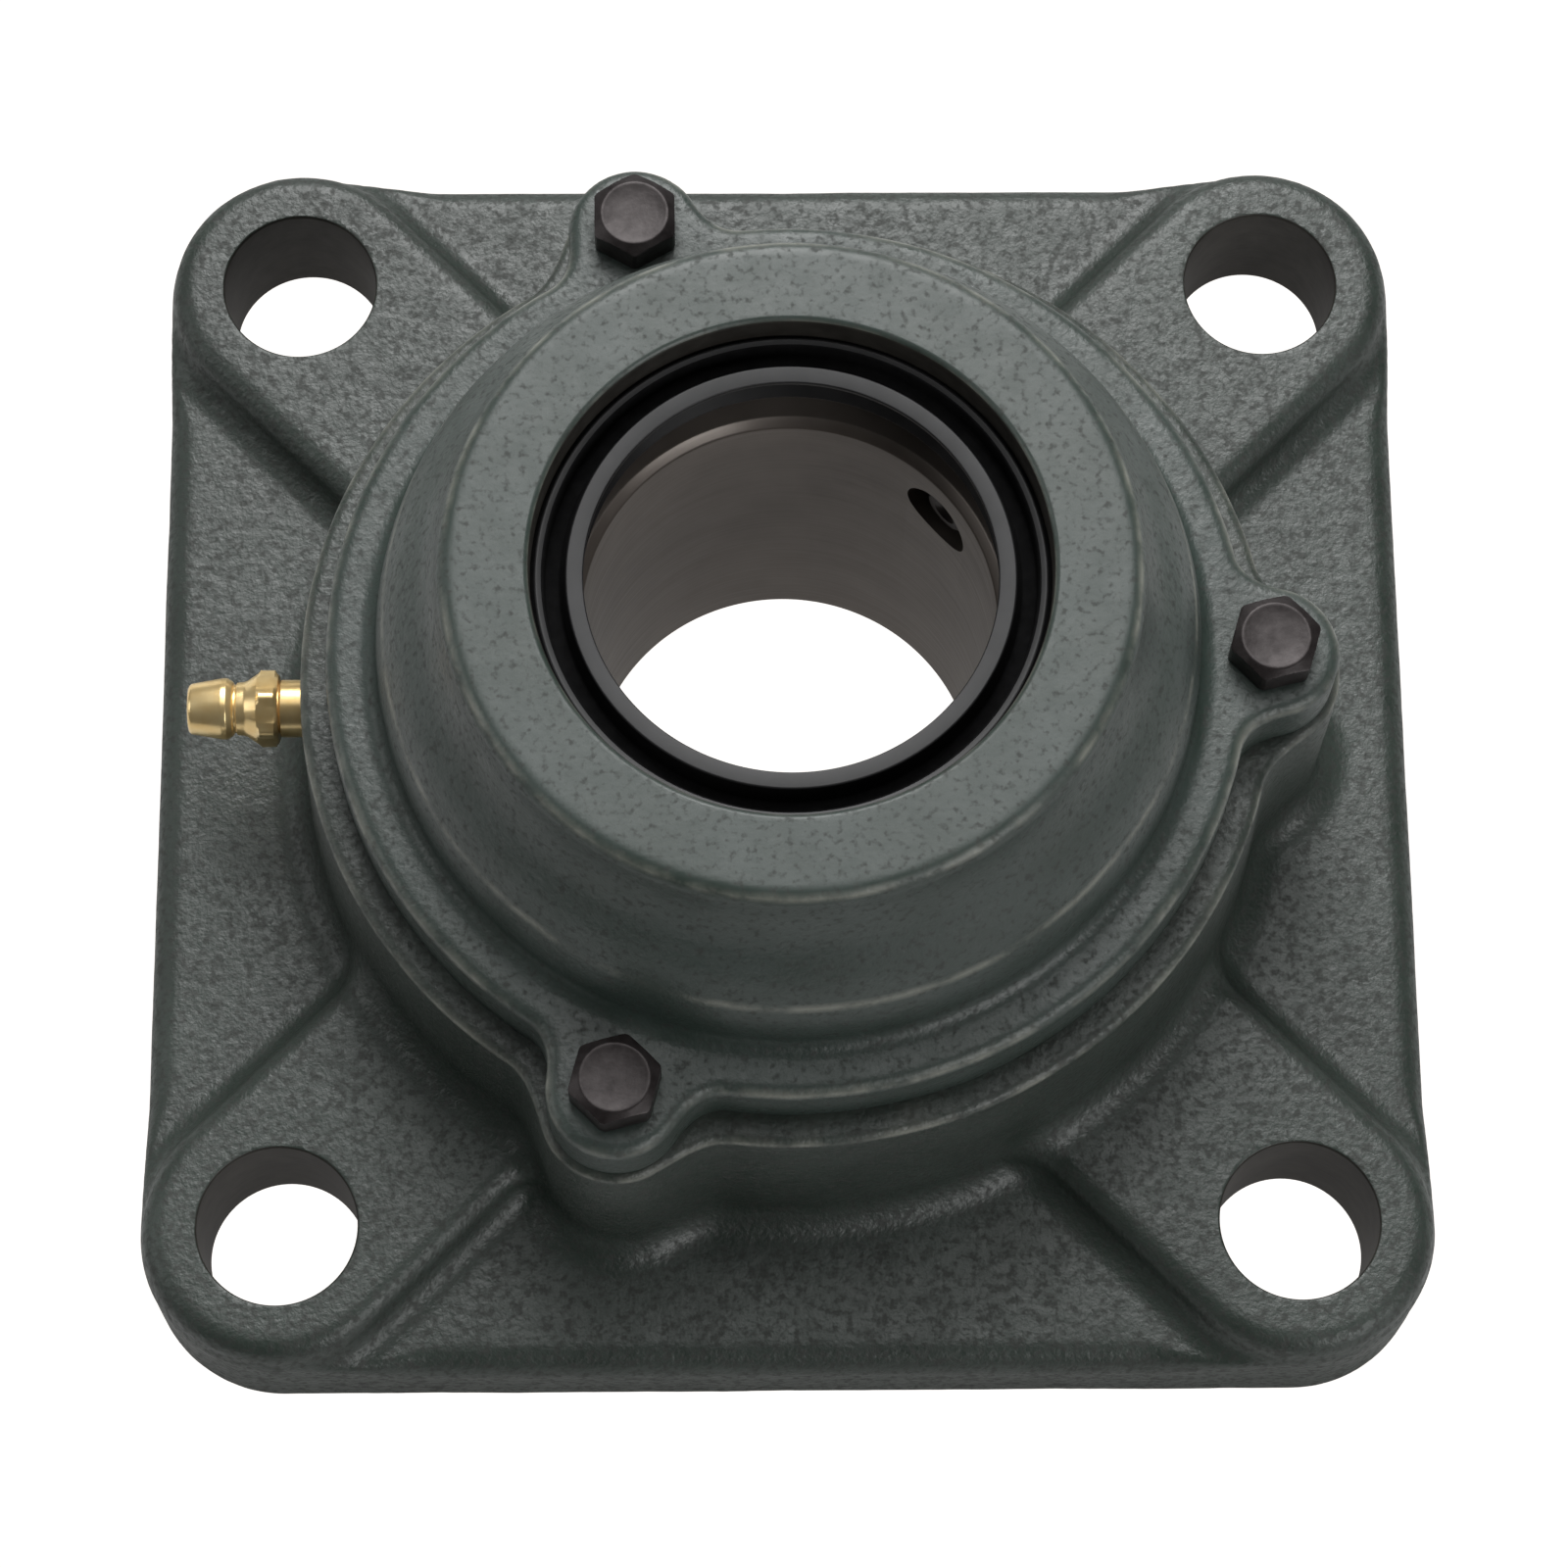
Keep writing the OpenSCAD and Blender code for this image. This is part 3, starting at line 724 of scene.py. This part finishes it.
def seat_cutter():
    """Spherical seat for the insert, the plain holes on both sides of it and the counterbore."""
    seat_r = OUTER_R + SEAT_GAP
    reach = math.sqrt(seat_r ** 2 - SEAT_HOLE_R ** 2)
    top = math.asin(reach / seat_r)
    sphere = []
    for k in range(25):
        a = -top + 2 * top * k / 24
        sphere.append((seat_r * math.cos(a), SEAT_Z + seat_r * math.sin(a)))
    mouth_r = SEAT_HOLE_R + LEAD_IN
    outline = [(0, -1), (mouth_r, -1), (mouth_r, 0), (SEAT_HOLE_R, LEAD_IN)] + sphere
    outline += [(SEAT_HOLE_R, COUNTERBORE_Z), (COUNTERBORE_R, COUNTERBORE_Z)]
    outline += [(COUNTERBORE_R, HUB_TOP + 2), (0, HUB_TOP + 2)]
    return turned("cutter", outline, 240)


def make_housing():
    """The housing: plate, bosses and hub, with its back, seat, loading slots and holes cut."""
    margin = 2.0
    low = (-PLATE_HALF - margin, -PLATE_HALF - margin, -margin)
    high = (PLATE_HALF + margin, PLATE_HALF + margin, HUB_TOP + margin)
    piece = cast_skin("housing_casting", housing_field, low, high)
    slot_long = OUTER_R + SLOT_GAP
    slot_wide = (OUTER_FRONT - OUTER_REAR) / 2 + SLOT_GAP
    nipple_axis = outwards(180, NIPPLE_Z)
    back = block("cutter", (-90, -90, -5), (90, 90, 0))
    slots = block("cutter", (-slot_long, -slot_wide, -1), (slot_long, slot_wide, SEAT_Z))
    cutters = [back, seat_cutter(), slots]
    for x, y in itertools.product((-BOLT_AT, BOLT_AT), repeat=2):
        cutters.append(bolt_hole_cutter(x, y))
    for angle in SCREW_ANGLES:
        place = at_angle(angle, SCREW_CIRCLE_R, 0)
        cutters.append(rod_cutter(SCREW_R, HUB_TOP - SCREW_HOLE_DEPTH, HUB_TOP + 2, place))
    in_seat, outside = 36, 56
    cutters.append(rod_cutter(GREASE_DUCT_R, in_seat, NIPPLE_HOLE_FLOOR + 2, nipple_axis))
    cutters.append(rod_cutter(NIPPLE_THREAD_R, NIPPLE_HOLE_FLOOR, outside, nipple_axis))
    cutters.append(rod_cutter(NIPPLE_RECESS_R, NIPPLE_RECESS_FLOOR, outside, nipple_axis))
    cut(piece, cutters)

    def choose(centre, normal):
        x, y, z = centre.T
        in_bolt_hole = np.hypot(np.abs(x) - BOLT_AT, np.abs(y) - BOLT_AT) < BOLT_HOLE_R + 0.1
        inside = np.hypot(x, y) < COUNTERBORE_R + 0.1
        back = (z < 0.03) & (normal[:, 2] < -0.9)
        return np.where(in_bolt_hole, 2, np.where(inside | back, 1, 0))

    assign_faces(piece, choose)
    paints = [MATERIALS["cast_paint"], MATERIALS["bare_iron"], MATERIALS["drilled_wall"]]
    finish_piece(piece, "housing", ["housing"], paints)


def cavity_cutter():
    """The cover's inside: spigot bore, cavity round the inner ring and hole for the seal."""
    outline = rounded([
        (0, SPIGOT_FOOT - 3, 0), (SPIGOT_BORE_R, SPIGOT_FOOT - 3, 0), (SPIGOT_BORE_R, HUB_TOP, 0),
        (CAVITY_R, HUB_TOP + 2.5, 1.0), (CAVITY_R, CAVITY_WALL_TOP, 1.5),
        (SEAL_LEDGE_R, SEAL_FOOT, 0),
        (SEAL_R, SEAL_FOOT, 0), (SEAL_R, COVER_TOP, 0.7), (SEAL_R + 1.6, COVER_TOP, 0),
        (SEAL_R + 1.6, COVER_TOP + 2, 0), (0, COVER_TOP + 2, 0),
    ])
    return turned("cutter", outline, 240)


def make_cover():
    """The cover, with its spigot, its joint face, its inside and its screw holes cut."""
    reach = SCREW_CIRCLE_R + COVER_EAR_R + 2
    grid_foot = 29.0
    low = (-reach, -reach, grid_foot)
    high = (reach, reach, COVER_TOP + 2)
    piece = cast_skin("cover_casting", cover_field, low, high)
    below = SPIGOT_FOOT - 3
    joint = [(SPIGOT_R, below), (70, below), (70, HUB_TOP), (SPIGOT_R, HUB_TOP)]
    spigot_end = [(0, below), (60, below), (60, SPIGOT_FOOT), (0, SPIGOT_FOOT)]
    cutters = [turned("cutter", joint, 240), turned("cutter", spigot_end, 48), cavity_cutter()]
    for angle in SCREW_ANGLES:
        place = at_angle(angle, SCREW_CIRCLE_R, 0)
        cutters.append(rod_cutter(SCREW_CLEARANCE_R, HUB_TOP - 2, FLANGE_TOP + 3, place))
    cut(piece, cutters)

    def choose(centre, normal):
        x, y, z = centre.T
        r = np.hypot(x, y)
        seal_hole = (r < SEAL_R + 0.1) & (z > SEAL_FOOT)
        joint = (z < HUB_TOP + 0.05) & (normal[:, 2] < -0.9)
        return np.where(seal_hole, 2, np.where(joint | (z < HUB_TOP), 1, 0))

    assign_faces(piece, choose)
    paints = [MATERIALS["cover_paint"], MATERIALS["bare_iron"], MATERIALS["drilled_wall"]]
    finish_piece(piece, "housing", ["front_cover"], paints)


# ---- small parts ----

def make_cover_screws():
    """Three hexagon screws with a turned, slightly dished top."""
    corner_r = SCREW_FLATS / 2 / math.cos(math.pi / 6)
    disc_r = SCREW_FLATS / 2 - 0.6
    drop = (corner_r - disc_r) * math.tan(math.radians(30))
    outline = [(0, SCREW_FOOT), (SCREW_R - 0.4, SCREW_FOOT), (SCREW_R, SCREW_FOOT + 0.4)]
    outline += [(SCREW_R, FLANGE_TOP), (corner_r - 0.15, FLANGE_TOP), (corner_r, FLANGE_TOP + 0.15)]
    for k in range(13):
        t = k / 12
        outline.append((corner_r + (disc_r - corner_r) * t, SCREW_TOP - drop * (1 - t)))
    outline += [(disc_r - 0.12, SCREW_TOP + 0.02), (disc_r - 0.3, SCREW_TOP)]
    outline += [(disc_r - 0.7, SCREW_TOP - 0.1), (1.2, SCREW_TOP - 0.16), (0, SCREW_TOP - 0.16)]
    for number, (angle, turn) in enumerate(zip(SCREW_ANGLES, SCREW_TURNS), 1):
        place = at_angle(angle, SCREW_CIRCLE_R, 0) @ Matrix.Rotation(math.radians(turn), 4, "Z")
        screw = turned("cover_screw_%d" % number, outline, 144, SCREW_FLATS, place)
        oxide = [MATERIALS["screw_black"]]
        finish_piece(screw, "housing", ["cover_screws"], oxide, 24)


def make_grease_nipple():
    """Straight grease nipple: thread, hexagon, neck and conical head, drilled for its valve."""
    length = NIPPLE_TIP - NIPPLE_FOOT
    corner_r = NIPPLE_FLATS / 2 / math.cos(math.pi / 6)
    # Radius, distance from the foot and rounding of each corner, up the outside, then down the bore.
    outline = rounded([
        (0.8, 0, 0), (NIPPLE_THREAD_R - 0.3, 0, 0),
        (NIPPLE_THREAD_R, 0.3, 0), (NIPPLE_THREAD_R, 6.9, 0.15),
        (2.5, 6.95, 0.1), (2.5, 7.1, 0), (3.4, 7.1, 0), (corner_r, 7.45, 0),
        (corner_r, 8.9, 0), (3.55, 9.2, 0.15), (2.75, 10.4, 0.8), (2.65, 11.3, 0.1),
        (2.45, 11.4, 0.05), (2.45, 11.6, 0.05), (2.75, 11.75, 0.1), (3.1, 12.3, 0.4),
        (3.1, 12.8, 0.8), (2.5, length, 0.5), (1.0, length, 0.1),
        (0.8, length - 0.3, 0), (0.8, length - 0.61, 0), (1.0, length - 0.81, 0),
        (1.5, length - 0.8, 0), (1.5, 1.0, 0), (0.8, 1.0, 0),
    ], 5)
    corner_up = Matrix.Rotation(math.pi / 6, 4, "Z")
    place = outwards(180, NIPPLE_Z) @ Matrix.Translation((0, 0, NIPPLE_FOOT)) @ corner_up
    piece = turned("grease_nipple_body", outline, 144, NIPPLE_FLATS, place)
    finish_piece(piece, "housing", ["grease_nipple"], [MATERIALS["brass"]], 30)


def make_cover_seal():
    """Rubber of the shaft seal: outer bead, channel, flat dust lip and the main lip behind it."""
    outline = rounded([
        (SEAL_R, SEAL_FOOT, 0.2), (SEAL_R, SEAL_TOP - 0.5, 0.2), (SEAL_R - 0.5, SEAL_TOP, 0.3),
        (CHANNEL_R, SEAL_TOP - 0.2, 0.25), (CHANNEL_R - 0.15, CHANNEL_FLOOR, 0.3),
        (SEAL_LIP_ROOT_R + 0.65, CHANNEL_FLOOR, 0.3), (SEAL_LIP_ROOT_R, SEAL_TOP, 0.2),
        (SEAL_LIP_R, SEAL_TOP - 0.1, 0.15), (SEAL_LIP_R, SEAL_TOP - 0.6, 0.1),
        (SEAL_LIP_ROOT_R - 0.05, SEAL_TOP - 2.6, 0.4), (SEAL_LIP_R + 0.3, MAIN_LIP_FOOT + 1.4, 0.1),
        (SEAL_LIP_R + 1.0, MAIN_LIP_FOOT, 0.2), (SEAL_CASE_R - 0.3, MAIN_LIP_FOOT, 0.2),
        (SEAL_CASE_R - 0.2, SEAL_CASE_TOP, 0.2), (SEAL_CASE_R, SEAL_CASE_TOP, 0),
        (SEAL_CASE_R, SEAL_FOOT, 0),
    ])
    piece = turned("cover_seal_lips", outline, 240)

    def choose(centre, normal):
        x, y, z = centre.T
        r = np.hypot(x, y)
        # Faces down in the channel get the darker rubber, which is painted shade in the recess.
        return np.where((r > SEAL_LIP_ROOT_R + 0.05) & (z < SEAL_TOP - 0.15), 1, 0)

    assign_faces(piece, choose)
    rubbers = [MATERIALS["seal_rubber"], MATERIALS["channel_shade_rubber"]]
    finish_piece(piece, "housing", ["cover_seal_rubber"], rubbers, 50)


def make_inner_ring():
    """Inner ring with softly broken edges, its ball groove and the two set screw holes."""
    centre_r = BALL_CIRCLE_R - BALL_R - RACE_GAP + GROOVE_R
    sweep = math.acos((centre_r - INNER_R) / GROOVE_R)
    mouth_r = BORE_R + 0.9
    corners = [(BORE_R, RING_REAR + 0.9, 0.5), (mouth_r, RING_REAR, 0.3), (INNER_R, RING_REAR, 0.6)]
    steps = 24
    for k in range(steps + 1):
        a = math.pi + sweep * (1 - 2 * k / steps)
        corners.append((centre_r + GROOVE_R * math.cos(a), SEAT_Z + GROOVE_R * math.sin(a), 0))
    corners += [(INNER_R, RING_FRONT, 0.6), (mouth_r, RING_FRONT, 0.3)]
    corners.append((BORE_R, RING_FRONT - 0.9, 0.5))
    piece = turned("inner_ring_ground", rounded(corners), 240)
    cutters = []
    for angle in SET_SCREW_ANGLES:
        place = outwards(angle, SET_SCREW_Z)
        cutters.append(rod_cutter(SET_SCREW_R, BORE_R - 2, INNER_R + 2, place))
    cut(piece, cutters)
    oxide = [MATERIALS["ring_black"]]
    finish_piece(piece, "shaft_ring", ["inner_ring"], oxide, 30)


def dress_cad_nodes():
    """Gives every CAD node the material of its slot in the record."""
    for part in frame["record"]["subparts"]:
        node = frame["nodes"][part["node"]]
        node.data.materials.clear()
        node.data.materials.append(MATERIALS[part["material_slot"]])


# ---- floor, lights, camera ----

def stage_slab(name, half, top, glow, shown):
    """Pale glowing square slab, seen by the camera alone or by every ray but the camera's."""
    slab = block(name, (-half, -half, -12), (half, half, top))
    shader = Shader(name, 0.0, 0.9, 0.2)
    tone = shader.clouds(900.0, 1.0, 0.55, 0.57)
    shader.surface.inputs["Emission Color"].default_value = (1.0, 0.97, 0.94, 1)
    shader.surface.inputs["Emission Strength"].default_value = glow
    slab.data.materials.append(shader.set(Base_Color=tone))
    slab.visible_camera = shown
    slab.visible_diffuse = not shown
    slab.visible_glossy = not shown
    slab.visible_transmission = not shown
    slab.visible_shadow = not shown


def make_floor():
    """White floor as the camera sees it, the light it throws back, and its glow in the holes."""
    stage_slab("floor", FLOOR_HALF, top=-0.03, glow=1.0, shown=True)
    stage_slab("floor_bounce", FLOOR_HALF, top=-0.03, glow=0.10, shown=False)
    stage_slab("floor_glow", PLATE_HALF - 3, top=-0.02, glow=0.28, shown=False)


def soft_light(name, around, above, power):
    """Round soft light in a direction, given in degrees round from +X and above the floor."""
    light = bpy.data.lights.new(name, "AREA")
    light.shape = "DISK"
    light.size = LIGHT_SIZE
    light.energy = power
    obj = bpy.data.objects.new(name, light)
    flat = math.cos(math.radians(above))
    side = math.radians(around)
    towards = Vector((math.cos(side) * flat, math.sin(side) * flat, math.sin(math.radians(above))))
    obj.rotation_mode = "QUATERNION"
    obj.rotation_quaternion = towards.to_track_quat("Z", "Y")
    obj.location = towards * LIGHT_DISTANCE
    bpy.context.scene.collection.objects.link(obj)


def make_lights():
    """Soft lights behind and high up, and low ones on the left and at the near right."""
    soft_light("light_behind", 90, 45, 14.8)
    soft_light("light_high_right", 60, 70, 3.8)
    soft_light("light_high_left", 120, 70, 1.6)
    soft_light("light_left", 180, 30, 2.8)
    soft_light("light_near_right", 310, 30, 6.8)
    world = bpy.data.worlds.new("studio")
    world.use_nodes = True
    background = world.node_tree.nodes["Background"]
    background.inputs["Color"].default_value = (0.95, 1.0, 0.98, 1)
    background.inputs["Strength"].default_value = 0.02
    bpy.context.scene.world = world
    bpy.context.scene.view_settings.view_transform = "Standard"


def make_camera():
    """Long lens almost straight above the unit, tipped a little from the near side."""
    azimuth, elevation, roll = map(math.radians, (VIEW_AZIMUTH, VIEW_ELEVATION, VIEW_ROLL))
    flat = math.cos(elevation)
    back = Vector((math.sin(azimuth) * flat, -math.cos(azimuth) * flat, math.sin(elevation)))
    level = Vector((math.cos(azimuth), math.sin(azimuth), 0))
    upright = back.cross(level)
    right = level * math.cos(roll) + upright * math.sin(roll)
    up = upright * math.cos(roll) - level * math.sin(roll)
    data = bpy.data.cameras.new("camera")
    data.sensor_width = 36.0
    data.lens = VIEW_LENS
    data.clip_start, data.clip_end = 0.01, 20.0
    camera = bpy.data.objects.new("camera", data)
    turn = Matrix((right, up, back)).transposed().to_4x4()
    aim = right * AIM_RIGHT + up * AIM_UP
    camera.matrix_world = Matrix.Translation(aim + back * VIEW_DISTANCE) @ turn
    bpy.context.scene.collection.objects.link(camera)
    bpy.context.scene.camera = camera


# ---- the scene ----

make_camera()
make_lights()
make_floor()
dress_cad_nodes()
make_housing()
make_cover()
make_cover_screws()
make_grease_nipple()
make_cover_seal()
make_inner_ring()
